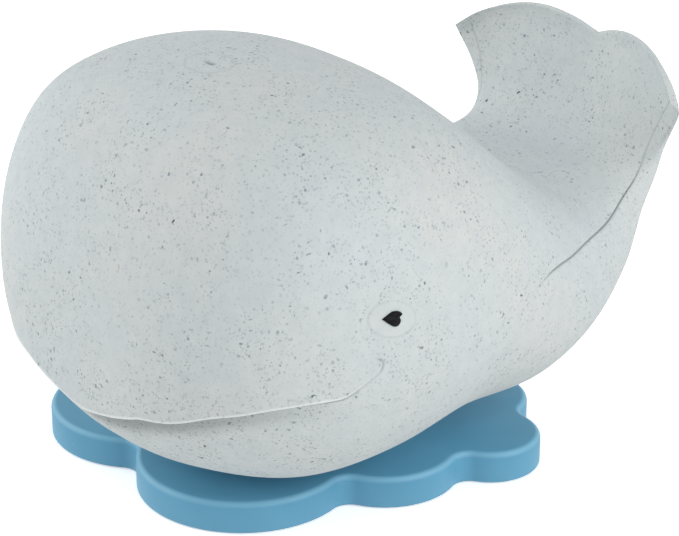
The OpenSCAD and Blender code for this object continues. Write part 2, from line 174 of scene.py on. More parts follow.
# The dab's dome: share of the outline, share of the rise
PUPIL_DOME = ((0.985, 0.35), (0.94, 0.8), (0.8, 1.0), (0.55, 1.08), (0.28, 1.1))

# Squeaker finishes: material, its settings, roughness, pieces
SQUEAKER_FINISHES = (
    ("squeaker_plastic", "case", 0.42, ("squeaker_case", "squeaker_cap")),
    ("reed_plate_plastic", "plate", 0.45, ("reed_plate", "reed_clamp")),
    ("reed_film", "reed", 0.25, ("reed",)),
)

# Stage in metres: lamps with their place, width and setting
LAMPS = (
    ("key_lamp", (0.3, -0.9, 0.66), 0.7, "key_power"),
    ("fill_lamp", (-0.1, -1.05, 0.3), 0.8, "fill_power"),
    ("back_lamp", (-0.6, 0.75, 0.55), 0.8, "back_power"),
)
LAMP_TARGET = Vector((0, 0, 0.04))
FLOOR_REACH, FLOOR_LEVEL, FLOOR_GLOW = 6.0, -0.0002, 0.46
SENSOR_WIDTH, NEAREST_SEEN = 36.0, 0.01


def tint(red, green, blue):
    """A display colour of 0 to 255 as the linear colour that shaders take."""
    shares = [value / 255 for value in (red, green, blue)]
    return tuple(v / 12.92 if v <= 0.04045 else ((v + 0.055) / 1.055) ** 2.4 for v in shares)


def smooth(low, high, value):
    """An even S-shaped rise from 0 at low to 1 at high."""
    u = np.clip((value - low) / (high - low), 0.0, 1.0)
    return u * u * (3 - 2 * u)


def hill(value, middle, width):
    """A soft ridge of height 1."""
    return np.exp(-((value - middle) / width) ** 2)


def run(share, changes, start=1.0):
    """A line's strength at shares of its length, from its changes."""
    return start + sum(change * smooth(low, high, share) for low, high, change in changes)


def spline(rows, at):
    """A curve through the rows of a table with mirrored ends; at counts rows."""
    rows = np.asarray(rows, float)
    padded = np.concatenate([[2 * rows[0] - rows[1]], rows, [2 * rows[-1] - rows[-2]]])
    i = np.clip(np.floor(at).astype(int), 0, len(rows) - 2)
    u = at - i
    if rows.ndim > 1:
        u = u[:, None]
    a, b, c, d = (padded[i + k] for k in range(4))
    return (2 * b + (c - a) * u + (2 * a - 5 * b + 4 * c - d) * u ** 2
            + (3 * b - a - 3 * c + d) * u ** 3) / 2


def skin_point(at):
    """Points of the skin, in millimetres, at rows of station and angle."""
    t, angle = at[:, 0], at[:, 1]
    s = spline(STATION_SHARES, t)
    sine, cosine = np.sin(angle), np.cos(angle)
    up = sine >= 0
    power = 2 / np.where(up, s[:, 6], s[:, 7])
    lift = np.abs(sine) ** power
    side = np.sign(cosine) * np.abs(cosine) ** power
    level = np.where(up, s[:, 5] + (1 - s[:, 5]) * lift, s[:, 5] * (1 - lift))
    middle = (s[:, 0:2] + s[:, 2:4]) / 2
    reach = (s[:, 0:2] - s[:, 2:4]) / 2
    rim = (STATION_SHARES[-2, 0:2] - STATION_SHARES[-2, 2:4]) / 2
    past = np.clip(t - RIM_STATION, 0, 1)[:, None]
    reach = np.where(past > 0, rim * np.sqrt(1 - past ** 2) * (1 - RIM_TAPER * past), reach)
    xz = middle + (2 * level - 1)[:, None] * reach
    soft = TROUGH_SHARE * (1 - s[:, 8])
    v = (np.hypot(side, soft) - soft) / (np.hypot(1, soft) - soft) * (len(FLUKE_X_SHARES) - 1)
    return np.stack([
        BODY_X + BODY_LEN * (xz[:, 0] + s[:, 8] * spline(FLUKE_X_SHARES, v)),
        side * s[:, 4] * HALF_W,
        BODY_Z + BODY_H * (xz[:, 1] + s[:, 8] * spline(FLUKE_Z_SHARES, v)),
    ], axis=1)


def unit_rows(rows):
    return rows / np.maximum(np.linalg.norm(rows, axis=1, keepdims=True), 1e-12)


def skin_normal(at):
    """Outward directions of the skin at rows of station and angle."""
    inner = at.copy()
    inner[:, 0] = np.clip(at[:, 0], NORMAL_MARGIN, LAST_STATION - NORMAL_MARGIN)
    around, along = (skin_point(inner + step) - skin_point(inner - step) for step in NORMAL_STEPS)
    return unit_rows(np.cross(around, along))


class Line:
    """A line on the left flank that points of the skin are measured against."""

    def __init__(self, points):
        self.points = points
        self.heads = unit_rows(np.gradient(points, axis=0))
        self.shares = np.linspace(0, 1, len(points))
        self.tree = KDTree(len(points))
        for i, point in enumerate(points):
            self.tree.insert(point, i)
        self.tree.balance()

    def nearest(self, points):
        found = [self.tree.find(p) for p in points]
        return np.array([f[1] for f in found]), np.array([f[2] for f in found])

    def measure(self, points, normals):
        """Distance in the skin, positive above the line, share along it and straight distance."""
        index, straight = self.nearest(points)
        offset = points - self.points[index]
        offset -= (offset * normals).sum(1)[:, None] * normals
        heads = self.heads[index]
        across = (offset * np.cross(normals, heads)).sum(1)
        ahead = (offset * heads).sum(1)
        last = (index == 0) | (index == len(self.points) - 1)
        gap = np.where(last, np.hypot(across, ahead), np.abs(across))
        return np.where(across < 0, -gap, gap), self.shares[index], straight


def mirrored(rows):
    """Rows of the right flank brought over to the left."""
    out = rows.copy()
    out[:, 1] = -np.abs(rows[:, 1])
    return out


def pad_distance(points):
    """How far points are outside the moulded pad round an eye, in millimetres."""
    x, y, z = (mirrored(points) - EYE_PAD_AT).T
    stretch = np.hypot(x / EYE_PAD_LONG, (z + EYE_PAD_LEAN * x) / EYE_PAD_TALL)
    return np.where(np.abs(y) < EYE_PAD_DEEP, (stretch - 1) * EYE_PAD_TALL, FAR_AWAY)


def blowhole_distance(points):
    """Distance from the short slit of the blowhole, which lies across the back."""
    rel = np.abs(points - BLOWHOLE_AT)
    rel[:, 1] = np.maximum(rel[:, 1] - BLOWHOLE_REACH, 0)
    return np.linalg.norm(rel, axis=1)


def nick_distance(points):
    """Distance from the nearest nick."""
    best = np.full(len(points), FAR_AWAY)
    for start, end in NICKS:
        head = end - start
        u = np.clip(((points - start) @ head) / (head @ head), 0, 1)
        best = np.minimum(best, np.linalg.norm(points - start - u[:, None] * head, axis=1))
    return best


def refine(at, tris, wanted, passes):
    """Splits the edges that are longer than wanted(points); at holds station and angle."""
    for _ in range(passes):
        points = skin_point(at)
        edges = np.sort(tris[:, [0, 1, 1, 2, 2, 0]].reshape(-1, 2), axis=1)
        edges, where = np.unique(edges, axis=0, return_inverse=True)
        middle = at[edges].mean(axis=1)
        length = np.linalg.norm(points[edges[:, 0]] - points[edges[:, 1]], axis=1)
        split = length > wanted(skin_point(middle))
        if not split.any():
            break
        fresh = np.full(len(edges), -1)
        fresh[split] = len(at) + np.arange(split.sum())
        at = np.concatenate([at, middle[split]])
        mids = fresh[where.reshape(-1)].reshape(-1, 3)
        count = (mids >= 0).sum(axis=1)
        parts = [tris[count == 0]]
        for k in range(3):
            a, b, c = (tris[:, (k + n) % 3] for n in range(3))
            ab, bc, ca = (mids[:, (k + n) % 3] for n in range(3))
            one = (count == 1) & (ab >= 0)
            two = (count == 2) & (ca < 0)
            all3 = count == 3
            parts += [np.stack(t, 1)[one] for t in ((a, ab, c), (ab, b, c))]
            parts += [np.stack(t, 1)[two] for t in ((ab, b, bc), (a, ab, bc), (a, bc, c))]
            parts.append(np.stack((a, ab, ca), 1)[all3])
        parts.append(mids[count == 3])
        tris = np.concatenate(parts)
    return at, tris


def quads(a, b, c, d):
    """Two triangles each between the sides a b and c d."""
    return np.concatenate([np.stack((a, b, c), 1), np.stack((b, d, c), 1)])


def skin_grid(rows, sides, end):
    """Station and angle of an even grid with a doubled seam, and its triangles."""
    t = np.linspace(0, end, rows + 1)
    a = np.linspace(0, 2 * math.pi, sides + 1)
    at = np.stack(np.meshgrid(t, a, indexing="ij"), axis=-1).reshape(-1, 2)
    i, j = (m.ravel() for m in np.meshgrid(np.arange(rows), np.arange(sides), indexing="ij"))
    p = i * (sides + 1) + j
    q = p + sides + 1
    return at, quads(p, q, p + 1, q + 1)


def weld(rows, tris):
    """Joins points that share a place and drops the triangles that this closes."""
    keys = np.round(rows[:, :3] * WELD_PER_MM).astype(np.int64)
    _, first, index = np.unique(keys, axis=0, return_index=True, return_inverse=True)
    tris = index.reshape(-1)[tris]
    return rows[first], tris[(tris != np.roll(tris, 1, axis=1)).all(axis=1)]


def clip(rows, tris, field):
    """Keeps the part where field is positive, and returns the new points on the cut as well."""
    inside = (field > 0)[tris]
    count = inside.sum(axis=1)
    pairs, shapes = [], []
    for k in range(3):
        a, b, c = (tris[:, (k + n) % 3] for n in range(3))
        one = (count == 1) & inside[:, k]
        two = (count == 2) & ~inside[:, k]
        for mask in (one, two):
            pairs.append(np.stack((a[mask], b[mask]), 1))
            pairs.append(np.stack((a[mask], c[mask]), 1))
        shapes.append((a[one], b[two], c[two]))
    sizes = np.cumsum([0] + [len(p) for p in pairs])
    cut, where = np.unique(np.sort(np.concatenate(pairs), axis=1), axis=0, return_inverse=True)
    where = where.reshape(-1) + len(rows)
    f0, f1 = field[cut[:, 0]], field[cut[:, 1]]
    share = (f0 / (f0 - f1))[:, None]
    new = rows[cut[:, 0]] + share * (rows[cut[:, 1]] - rows[cut[:, 0]])
    out = [tris[count == 3]]
    for k, (a, b, c) in enumerate(shapes):
        ids = [where[sizes[4 * k + n]:sizes[4 * k + n + 1]] for n in range(4)]
        out.append(np.stack((a, ids[0], ids[1]), 1))
        out.append(np.stack((ids[2], b, c), 1))
        out.append(np.stack((ids[2], c, ids[3]), 1))
    rows, tris = np.concatenate([rows, new]), np.concatenate(out)
    used, index = np.unique(tris, return_inverse=True)
    border = np.flatnonzero(used >= len(field))
    return rows[used], index.reshape(-1, 3), border


def add_object(name, data):
    obj = bpy.data.objects.new(name, data)
    bpy.context.scene.collection.objects.link(obj)
    return obj


def arc(centre, radius, start, end, steps):
    a = np.linspace(start, end, steps + 1)
    return centre + radius * np.stack([np.cos(a), np.sin(a)], 1)


def turn_of(points):
    return np.arctan2(points[..., 1], points[..., 0])


class Skin:
    """Points, with columns of their own beside x, y and z, and triangles that grow ring by ring."""

    def __init__(self, columns):
        self.rows = np.zeros((0, columns))
        self.tris = []

    def add(self, rows, tris=np.zeros((0, 3), int)):
        """Adds points and triangles and returns the number of the first point."""
        first = len(self.rows)
        self.rows = np.concatenate([self.rows, rows])
        self.tris.append(tris + first)
        return first

    def ring(self, points):
        """Adds points round the axis and returns their numbers, sorted by turn."""
        rows = np.zeros((len(points), self.rows.shape[1]))
        rows[:, :3] = points
        return self.add(rows) + np.argsort(turn_of(points))

    def circle(self, radius, height):
        flat = arc(0, radius, 0, 2 * math.pi, ROUND_SIDES)[:-1]
        return self.ring(np.column_stack([flat, np.full(ROUND_SIDES, height)]))

    def bands(self, rings):
        """Joins each ring to the next one."""
        for left, right in zip(rings, rings[1:]):
            self.band(left, right)

    def band(self, left, right):
        """Joins two rings that run round the axis; seen from its front, left lies left of right."""
        turns = [np.unwrap(np.append(t, t[0] + 2 * math.pi))
                 for t in (turn_of(self.rows[ring]) for ring in (left, right))]
        i = j = 0
        tris = []
        while i < len(left) or j < len(right):
            a, b = left[i % len(left)], right[j % len(right)]
            if j == len(right) or (i < len(left) and turns[0][i + 1] <= turns[1][j + 1]):
                i += 1
                tris.append((a, b, left[i % len(left)]))
            else:
                j += 1
                tris.append((a, b, right[j % len(right)]))
        self.tris.append(np.array(tris))

    def piece(self, name):
        """Welds what was made and returns it as an object in metres, and the welded rows with their
        columns.
        """
        rows, tris = weld(self.rows, np.concatenate(self.tris))
        used, index = np.unique(tris, return_inverse=True)
        rows, tris = rows[used], index.reshape(-1, 3)
        mesh = bpy.data.meshes.new(name)
        mesh.from_pydata((rows[:, :3] * MM).tolist(), [], tris.tolist())
        if mesh.validate():
            raise RuntimeError(f"{name} has faces that Blender had to repair")
        mesh.polygons.foreach_set("use_smooth", [True] * len(mesh.polygons))
        return add_object(name, mesh), rows


def add_layer(obj, name, values):
    """Stores one number for each point, which the materials read by name."""
    layer = obj.data.attributes.new(name, "FLOAT", "POINT")
    layer.data.foreach_set("value", np.ascontiguousarray(values, np.float32))


def put_material(obj, material):
    obj.data.materials.clear()
    obj.data.materials.append(material)


# Shader helpers

def feed(tree, socket, value):
    """Links a socket to another one, or sets it to a plain number or colour."""
    if isinstance(value, bpy.types.NodeSocket):
        tree.links.new(value, socket)
    else:
        socket.default_value = (*value, 1.0) if socket.type == "RGBA" else value


def fill(tree, made, **values):
    """Sets what values name: a node's settings or, failing that, its inputs; returns the node."""
    for name, value in values.items():
        if hasattr(made, name):
            setattr(made, name, value)
        else:
            feed(tree, made.inputs[name.replace("_", " ")], value)
    return made


def node(tree, kind, **values):
    return fill(tree, tree.nodes.new(kind), **values)


def maths(tree, operation, *values, kind="ShaderNodeMath"):
    """A Math node on sockets or plain numbers; returns its result."""
    made = node(tree, kind, operation=operation)
    for socket, value in zip(made.inputs, values):
        feed(tree, socket, value)
    return made.outputs[0]


def times(tree, first, second):
    return maths(tree, "MULTIPLY", first, second)


def vector_maths(tree, operation, *values):
    return maths(tree, operation, *values, kind="ShaderNodeVectorMath")


def mix_colour(tree, share, first, second):
    """A colour mix on sockets or plain colours; returns its result."""
    made = node(tree, "ShaderNodeMix", data_type="RGBA")
    for index, value in ((0, share), (6, first), (7, second)):
        feed(tree, made.inputs[index], value)
    return made.outputs[2]


def ranged(tree, value, low=0.0, high=1.0, to_low=0.0, to_high=1.0):
    """A value brought from one range to another."""
    return node(tree, "ShaderNodeMapRange", Value=value, From_Min=low, From_Max=high,
                To_Min=to_low, To_Max=to_high).outputs[0]


def noise(tree, place, scale, detail, roughness=0.5):
    """A noise node; its first output is a number, its second a colour."""
    return node(tree, "ShaderNodeTexNoise", Vector=place, Scale=scale, Detail=detail,
                Roughness=roughness)


def object_place(tree):
    return node(tree, "ShaderNodeTexCoord").outputs["Object"]


def layer_value(tree, name):
    return node(tree, "ShaderNodeAttribute", attribute_name=name).outputs["Fac"]


def new_group(name, inputs, outputs):
    """An empty node group with number sockets; returns it with its inputs and its end."""
    tree = bpy.data.node_groups.new(name, "ShaderNodeTree")
    for label, value in inputs.items():
        socket = tree.interface.new_socket(label, in_out="INPUT", socket_type="NodeSocketFloat")
        socket.default_value = value
    for label in outputs:
        tree.interface.new_socket(label, in_out="OUTPUT", socket_type="NodeSocketFloat")
    return tree, tree.nodes.new("NodeGroupInput").outputs, tree.nodes.new("NodeGroupOutput")


def moulded_grain():
    """Fine tooth and soft lumps of a moulded skin: a height and a tone."""
    group, start, end = new_group(
        "moulded_grain", {"Tooth": 2600.0, "Lumps": 260.0, "Lump Share": 0.4}, ["Height", "Tone"])
    place = object_place(group)
    tooth = noise(group, place, start["Tooth"], 3.0, 0.6).outputs[0]
    lumps = noise(group, place, start["Lumps"], 2.0).outputs[0]
    share = start["Lump Share"]
    fine = times(group, tooth, maths(group, "SUBTRACT", 1.0, share))
    fill(group, end, Height=maths(group, "MULTIPLY_ADD", lumps, share, fine), Tone=lumps)
    return group


def scattered_flecks():
    """Small uneven specks scattered through a material: a mask."""
    group, start, end = new_group(
        "scattered_flecks", {"Cells": 900.0, "Radius": 0.25, "Share": 0.4, "Ragged": 0.5}, ["Mask"])
    place, cells = object_place(group), start["Cells"]
    warp = noise(group, place, times(group, cells, 1.7), 1.0).outputs[1]
    push = vector_maths(group, "SUBTRACT", warp, (0.5, 0.5, 0.5))
    push = vector_maths(group, "MULTIPLY", push, maths(group, "DIVIDE", start["Ragged"], cells))
    spots = node(group, "ShaderNodeTexVoronoi", feature="F1", Scale=cells,
                 Vector=vector_maths(group, "ADD", place, push)).outputs
    lots = node(group, "ShaderNodeSeparateColor", Color=spots["Color"]).outputs
    size = times(group, start["Radius"], maths(group, "MULTIPLY_ADD", lots[1], 0.8, 0.4))
    edge = node(group, "ShaderNodeMapRange", interpolation_type="SMOOTHSTEP",
                Value=spots["Distance"], From_Min=times(group, size, 0.55), From_Max=size,
                To_Min=1.0, To_Max=0.0).outputs[0]
    picked = maths(group, "LESS_THAN", lots[0], start["Share"])
    boldness = maths(group, "MULTIPLY_ADD", lots[2], 0.7, 0.3)
    fill(group, end, Mask=times(group, times(group, edge, picked), boldness))
    return group


def grouped(tree, build, **inputs):
    """A node of the group that build makes, which is made only once; returns its outputs."""
    group = bpy.data.node_groups.get(build.__name__) or build()
    return node(tree, "ShaderNodeGroup", node_tree=group, **inputs).outputs


def new_material(name):
    material = bpy.data.materials.new(name)
    material.use_nodes = True
    return material, material.node_tree, material.node_tree.nodes["Principled BSDF"]


def finish_shader(tree, shader, colour, tone, roughness, height, strength, depth):
    """Links a colour, a roughness that follows a tone, and a fine bump."""
    bump = node(tree, "ShaderNodeBump", Strength=strength, Distance=depth, Height=height)
    fill(tree, shader, Base_Color=colour, Roughness=ranged(tree, tone, 0, 1, *roughness),
         Normal=bump.outputs[0])


def speckled_rubber(settings):
    """Pale rubber with blue-grey flecks, soft clouds of tone, painted shade in the moulded lines
    and a painted highlight along the lip's bead.
    """
    material, tree, shader = new_material("speckled_rubber")
    place = object_place(tree)
    clouds = noise(tree, place, 28.0, 3.0, 0.55).outputs[0]
    colour = mix_colour(
        tree, ranged(tree, clouds, 0.36, 0.66), settings.cool_colour, settings.warm_colour)
    grain = grouped(tree, moulded_grain, Tooth=2400.0, Lumps=340.0, Lump_Share=0.45)
    mottle = ranged(tree, grain["Tone"], 0.3, 0.7, 0.0, 0.35)
    colour = mix_colour(tree, mottle, colour, settings.mottle_colour)
    drifts = ranged(tree, noise(tree, place, 110.0, 2.0).outputs[0], 0.4, 0.62, 0.4, 1.15)
    flecked = maths(tree, "MULTIPLY_ADD", layer_value(tree, "pad"), -0.85, 1.0)
    flecked = times(tree, flecked, drifts)
    for cells, radius, share, depth, shade in (
        (1600.0, 0.48, 0.85, 0.65, settings.faint_fleck),
        (860.0, 0.31, 0.65, 0.9, settings.blue_fleck),
        (500.0, 0.19, 0.36, 1.0, settings.dark_fleck),
    ):
        mask = grouped(tree, scattered_flecks, Cells=cells, Radius=radius, Share=share, Ragged=0.8)
        mask = times(tree, times(tree, mask[0], depth), flecked)
        colour = mix_colour(tree, mask, colour, shade)
    # Painted shade in the moulded lines and under the lip where the layer is positive; painted
    # highlight on the lip's bead where it is negative
    crease = layer_value(tree, "crease")
    for strength, shade in (
        (settings.line_tone, settings.line_colour), (-1.0, settings.worn_colour),
    ):
        line = maths(tree, "MAXIMUM", times(tree, crease, strength), 0.0)
        colour = mix_colour(tree, line, colour, shade)
    rough = settings.roughness
    finish_shader(tree, shader, colour, grain["Tone"], (rough - 0.08, rough + 0.1),
                  grain["Height"], 0.5, 0.00025)
    return material


def blue_rubber(settings):
    """Satin blue rubber with pale specks, and a painted highlight where its edges are rounded."""
    material, tree, shader = new_material("blue_rubber")
    grain = grouped(tree, moulded_grain, Tooth=1900.0, Lumps=60.0, Lump_Share=0.3)
    tone = ranged(tree, grain["Tone"], 0.3, 0.7)
    colour = mix_colour(tree, tone, settings.deep_colour, settings.colour)
    specks = grouped(tree, scattered_flecks, Cells=700.0, Radius=0.2, Share=0.12, Ragged=0.6)[0]
    # Pale specks, and the painted highlight along the rounded edges from the rim layer
    for mask, strength in ((specks, 0.18), (layer_value(tree, "rim"), settings.edge_tone)):
        mask = times(tree, mask, strength)
        colour = mix_colour(tree, mask, colour, settings.edge_colour)
    rough = settings.roughness
    finish_shader(tree, shader, colour, grain["Tone"], (rough - 0.06, rough + 0.08),
                  grain["Height"], 0.18, 0.00012)
    return material


def pupil_paint(settings):
    """Brushed black paint with thin grey streaks and pinholes."""
    material, tree, shader = new_material("eye_paint")
    fill(tree, shader, Specular_IOR_Level=0.12)
    turned = node(tree, "ShaderNodeMapping", Vector=object_place(tree),
                  Rotation=(0.0, math.radians(35), 0.0), Scale=(500.0, 1500.0, 3200.0))
    brush = noise(tree, turned.outputs[0], 1.0, 3.0).outputs[0]
    holes = grouped(tree, scattered_flecks, Cells=2600.0, Radius=0.3, Share=0.25, Ragged=0.6)[0]
    colour = settings.colour
    for mask in (ranged(tree, brush, 0.52, 0.72), times(tree, holes, 0.5)):
        colour = mix_colour(tree, mask, colour, settings.streak_colour)
    rough = settings.roughness
    finish_shader(tree, shader, colour, brush, (rough, rough + 0.25), brush, 0.4, 0.0001)
    return material


def squeaker_plastic(name, colour, dull_colour, rough):
    """Moulded plastic of the squeaker's small parts, with faint flow marks."""
    material, tree, shader = new_material(name)
    grain = grouped(tree, moulded_grain, Tooth=3200.0, Lumps=420.0, Lump_Share=0.5)
    colour = mix_colour(tree, ranged(tree, grain["Tone"], 0.35, 0.65), dull_colour, colour)
    finish_shader(tree, shader, colour, grain["Tone"], (rough - 0.06, rough + 0.1),
                  grain["Height"], 0.12, 0.00008)
    return material


def colour_prop(name, description, colour):
    return bpy.props.FloatVectorProperty(
        name=name, description=description, subtype="COLOR", size=3, min=0.0, max=1.0,
        default=tint(*colour))


def number_prop(name, description, value, **kinds):
    return bpy.props.FloatProperty(name=name, description=description, default=value, **kinds)


def length_prop(name, description, millimetres):
    return number_prop(name, description, millimetres * MM, unit="LENGTH", min=0.0, precision=5)


def share_prop(name, description, share):
    return number_prop(name, description, share, subtype="FACTOR", min=0.0, max=1.0)


def angle_prop(name, description, degrees):
    return number_prop(name, description, math.radians(degrees), subtype="ANGLE")


def power_prop(name, description, watts):
    return number_prop(name, description, watts, unit="POWER")


class WhaleSettings(bpy.types.PropertyGroup):
    """Finish and fine form of the whale's rubber skin."""

    cool_colour: colour_prop("Cool rubber", "Bluish patches of the pale rubber", (202, 210, 212))
    warm_colour: colour_prop("Warm rubber", "Warmer patches of the pale rubber", (207, 211, 209))
    mottle_colour: colour_prop("Mottle", "Fine cloudy darker tone", (188, 197, 200))
    faint_fleck: colour_prop("Faint flecks", "Smallest flecks", (150, 163, 169))
    blue_fleck: colour_prop("Blue flecks", "Middling flecks", (114, 134, 147))
    dark_fleck: colour_prop("Dark flecks", "Largest flecks", (70, 85, 96))
    # Painted shade in the moulded lines, the blowhole and the hollow under the lip
    line_colour: colour_prop("Line tone", "Shade that gathers in moulded lines", (120, 128, 126))
    # Painted highlight along the lip's bead
    worn_colour: colour_prop("Worn edge", "Paler tone along the lip's bead", (246, 249, 249))
    # How dark that painted shade is
    line_tone: share_prop("Line strength", "How dark the moulded lines are", 0.78)
    roughness: share_prop("Roughness", "Dullness of the skin", 0.72)
    lip_step: length_prop("Lip step", "How far the jaw is set back under the lip", 1.4)
    lip_groove: length_prop("Lip groove", "Depth of the fine groove under the lip", 0.35)
    seam_depth: length_prop("Seam depth", "Depth of the mould seam towards the tail", 0.28)
    pad_rise: length_prop("Eye pad rise", "How far the pad round an eye stands proud", 0.1)


class BaseSettings(bpy.types.PropertyGroup):
    """Finish and rounding of the splash base."""

    colour: colour_prop("Blue rubber", "Main colour", (95, 162, 194))
    deep_colour: colour_prop("Deep blue", "Darker patches of the rubber", (88, 154, 186))
    # Colour of the pale specks and of the painted highlight on the rounded edges, then that
    # highlight's strength
    edge_colour: colour_prop("Pale edge", "Tone of the rounded edges", (142, 198, 222))
    edge_tone: share_prop("Edge strength", "How much paler the edges are", 0.5)
    roughness: share_prop("Roughness", "Dullness of the rubber", 0.5)
    edge_radius: length_prop("Upper edge", "Radius of the rounded upper edge", 1.4)
    foot_radius: length_prop("Lower edge", "Radius of the rounded lower edge", 0.4)


class PupilSettings(bpy.types.PropertyGroup):
    """The dabs of paint that are the pupils."""

    colour: colour_prop("Black paint", "Main colour", (10, 10, 12))
    streak_colour: colour_prop("Streaks", "Thin places in the paint", (46, 48, 51))
    roughness: share_prop("Roughness", "Dullness of the paint", 0.45)
    rise: length_prop("Rise", "How far the paint stands proud of the skin", 0.18)


class SqueakerSettings(bpy.types.PropertyGroup):
    """Finish of the squeaker insert."""

    case_colour: colour_prop("Case", "Natural plastic of the case and cap", (238, 237, 230))
    case_dull: colour_prop("Case shade", "Flow marks in the case", (224, 223, 215))
    plate_colour: colour_prop("Reed plate", "Ivory plastic of the plate and clamp", (231, 225, 205))
    plate_dull: colour_prop("Plate shade", "Flow marks in the plate", (216, 209, 187))
    reed_colour: colour_prop("Reed", "Amber film", (212, 176, 108))
    reed_dull: colour_prop("Reed shade", "Darker streaks of the film", (190, 150, 82))


class StageSettings(bpy.types.PropertyGroup):
    """Camera, lamps and floor."""

    azimuth: angle_prop("Azimuth", "Turn of the camera round the toy", -40)
    elevation: angle_prop("Elevation", "Height of the camera", 24)
    distance: length_prop("Distance", "Camera to the middle of the toy", 560)
    target_height: length_prop("Target height", "Height that the camera looks at", 41)
    lens: number_prop("Lens", "Focal length in millimetres", 140.5)
    floor_colour: colour_prop("Floor", "Pale studio floor", (249, 249, 249))
    key_power: power_prop("Key lamp", "Main soft lamp", 4.4)
    fill_power: power_prop("Fill lamp", "Weaker lamp low in front of the cheek", 1.7)
    back_power: power_prop("Back lamp", "Soft lamp that faces the flukes", 5.3)
    sky: number_prop("Sky", "Soft light from all round", 0.8)
    overhead: number_prop("Overhead", "Soft light from straight above", 0.34)


def whale_relief(points, normals, at, settings):
    """Relief of the skin in millimetres, the painted shade in its lines and the painted highlight
    on the lip's bead, and how bare of flecks it is.
    """
    flank = mirrored(points)
    flank_normals = normals * np.where(points[:, 1:2] > 0, [1, -1, 1], 1)

    lip, share, gap = LIP.measure(flank, flank_normals)
    v = np.minimum(np.abs(points[:, 1]) / HALF_W, 1) * (len(LIP_SHARES) - 1)
    above = points[:, 2] - BODY_Z - BODY_H * spline(LIP_SHARES, v)
    side = np.where(gap < LIP_NEAR, lip, above)
    front = 1 - smooth(*LIP_STEP_ENDS, at[:, 0])
    groove = (gap < LIP_NEAR) * hill(lip, *LIP_GROOVE) * run(share, GROOVE_RUN)
    bead = (gap < BEAD_NEAR) * hill(lip, *LIP_BEAD) * run(share, BEAD_RUN)
    below = np.maximum(-lip - LIP_HOLLOW_FROM, 0)
    under = (gap < HOLLOW_NEAR) & (lip < 0)
    hollow = under * hill(below, 0, LIP_HOLLOW_FADE) * run(share, HOLLOW_RUN)
    relief = -settings.lip_step / MM * front * (1 - smooth(*LIP_STEP_ACROSS, side))
    relief -= settings.lip_groove / MM * groove
    relief += LIP_BEAD_RISE * bead - LIP_HOLLOW_DEPTH * hollow

    seam, share, gap = SEAM.measure(flank, flank_normals)
    strength = run(share, SEAM_RUN, 0.0)
    line = (gap < SEAM_NEAR) * hill(seam, *SEAM_LINE) * strength
    edge = (gap < SEAM_EDGE_NEAR) * hill(seam, *SEAM_EDGE) * strength
    relief += SEAM_EDGE_RISE * edge - settings.seam_depth / MM * line
    # Painted shade in the lip's groove, in the hollow below the lip and in the seam
    crease = np.maximum.reduce([groove, HOLLOW_SHADE * hollow, line])

    out = pad_distance(points)
    pad = 1 - smooth(*PAD_EDGE, out)
    relief += settings.pad_rise / MM * pad
    # Each mark's rise shapes the skin and its tone adds painted shade
    for distance, marks in (
        (out, PAD_MARKS), (blowhole_distance(points), BLOWHOLE_MARKS),
        (nick_distance(points), NICK_MARKS),
    ):
        for middle, width, rise, tone in marks:
            mark = hill(distance, middle, width)
            relief += rise * mark
            crease = np.maximum(crease, tone * mark)
    # A painted highlight along the lip's bead, where the painted shade is slight
    crease = np.where(crease < BEAD_BESIDE, crease - BEAD_HIGHLIGHT * bead, crease)
    jaw = front * (1 - smooth(*JAW_EDGE, side))
    return relief, crease, pad - JAW_FLECKS * jaw


def wanted_edge(points):
    """Longest edge that the skin may have at a place: short at the moulded lines."""
    flank = mirrored(points)
    seam_gap = SEAM.nearest(flank)[1]
    hole = blowhole_distance(points)
    gap = np.minimum.reduce([
        LIP.nearest(flank)[1] - LIP_WIDE, seam_gap - SEAM_WIDE, hole - SLIT_WIDE,
        np.abs(hole - BLOWHOLE_RING) - MARK_WIDE, np.abs(pad_distance(points)) - MARK_WIDE,
        nick_distance(points) - MARK_WIDE,
    ])
    fine = np.where(seam_gap < MARK_WIDE, SEAM_FINE_EDGE, FINE_EDGE)
    return np.minimum(fine + EDGE_GROWTH * np.maximum(gap, 0), LONGEST_EDGE)


def along_places(places, samples):
    return spline(places, np.linspace(0, len(places) - 1, samples))


def seam_points(samples):
    """Points of the seam on the plain left flank, in millimetres."""
    t, share = along_places(SEAM_PLACES, samples).T
    power = spline(STATION_SHARES, t)[:, 6]
    return skin_point(np.stack([t, math.pi - np.arcsin(share ** (power / 2))], axis=1))


LIP = Line(skin_point(along_places(LIP_PLACES, LIP_SAMPLES) * [1, math.radians(1)]))
SEAM = Line(seam_points(SEAM_SAMPLES))


def add_trimmed(skin, rows, tris, floor):
    """Adds a skin that is cut off at a floor and opened round the collar; returns its border."""
    rows, tris = weld(rows, tris)
    radius = np.hypot(rows[:, 0], rows[:, 1])
    low = rows[:, 2] < BODY_Z + BODY_H / 2
    field = np.where(low, np.minimum(rows[:, 2] - floor, radius - COLLAR_R), 1.0)
    rows, tris, border = clip(rows, tris, field)
    rows[border, 2] = np.maximum(rows[border, 2], floor)
    border = border[np.argsort(turn_of(rows[border]))]
    return skin.add(rows, tris) + border, rows[border, :3]


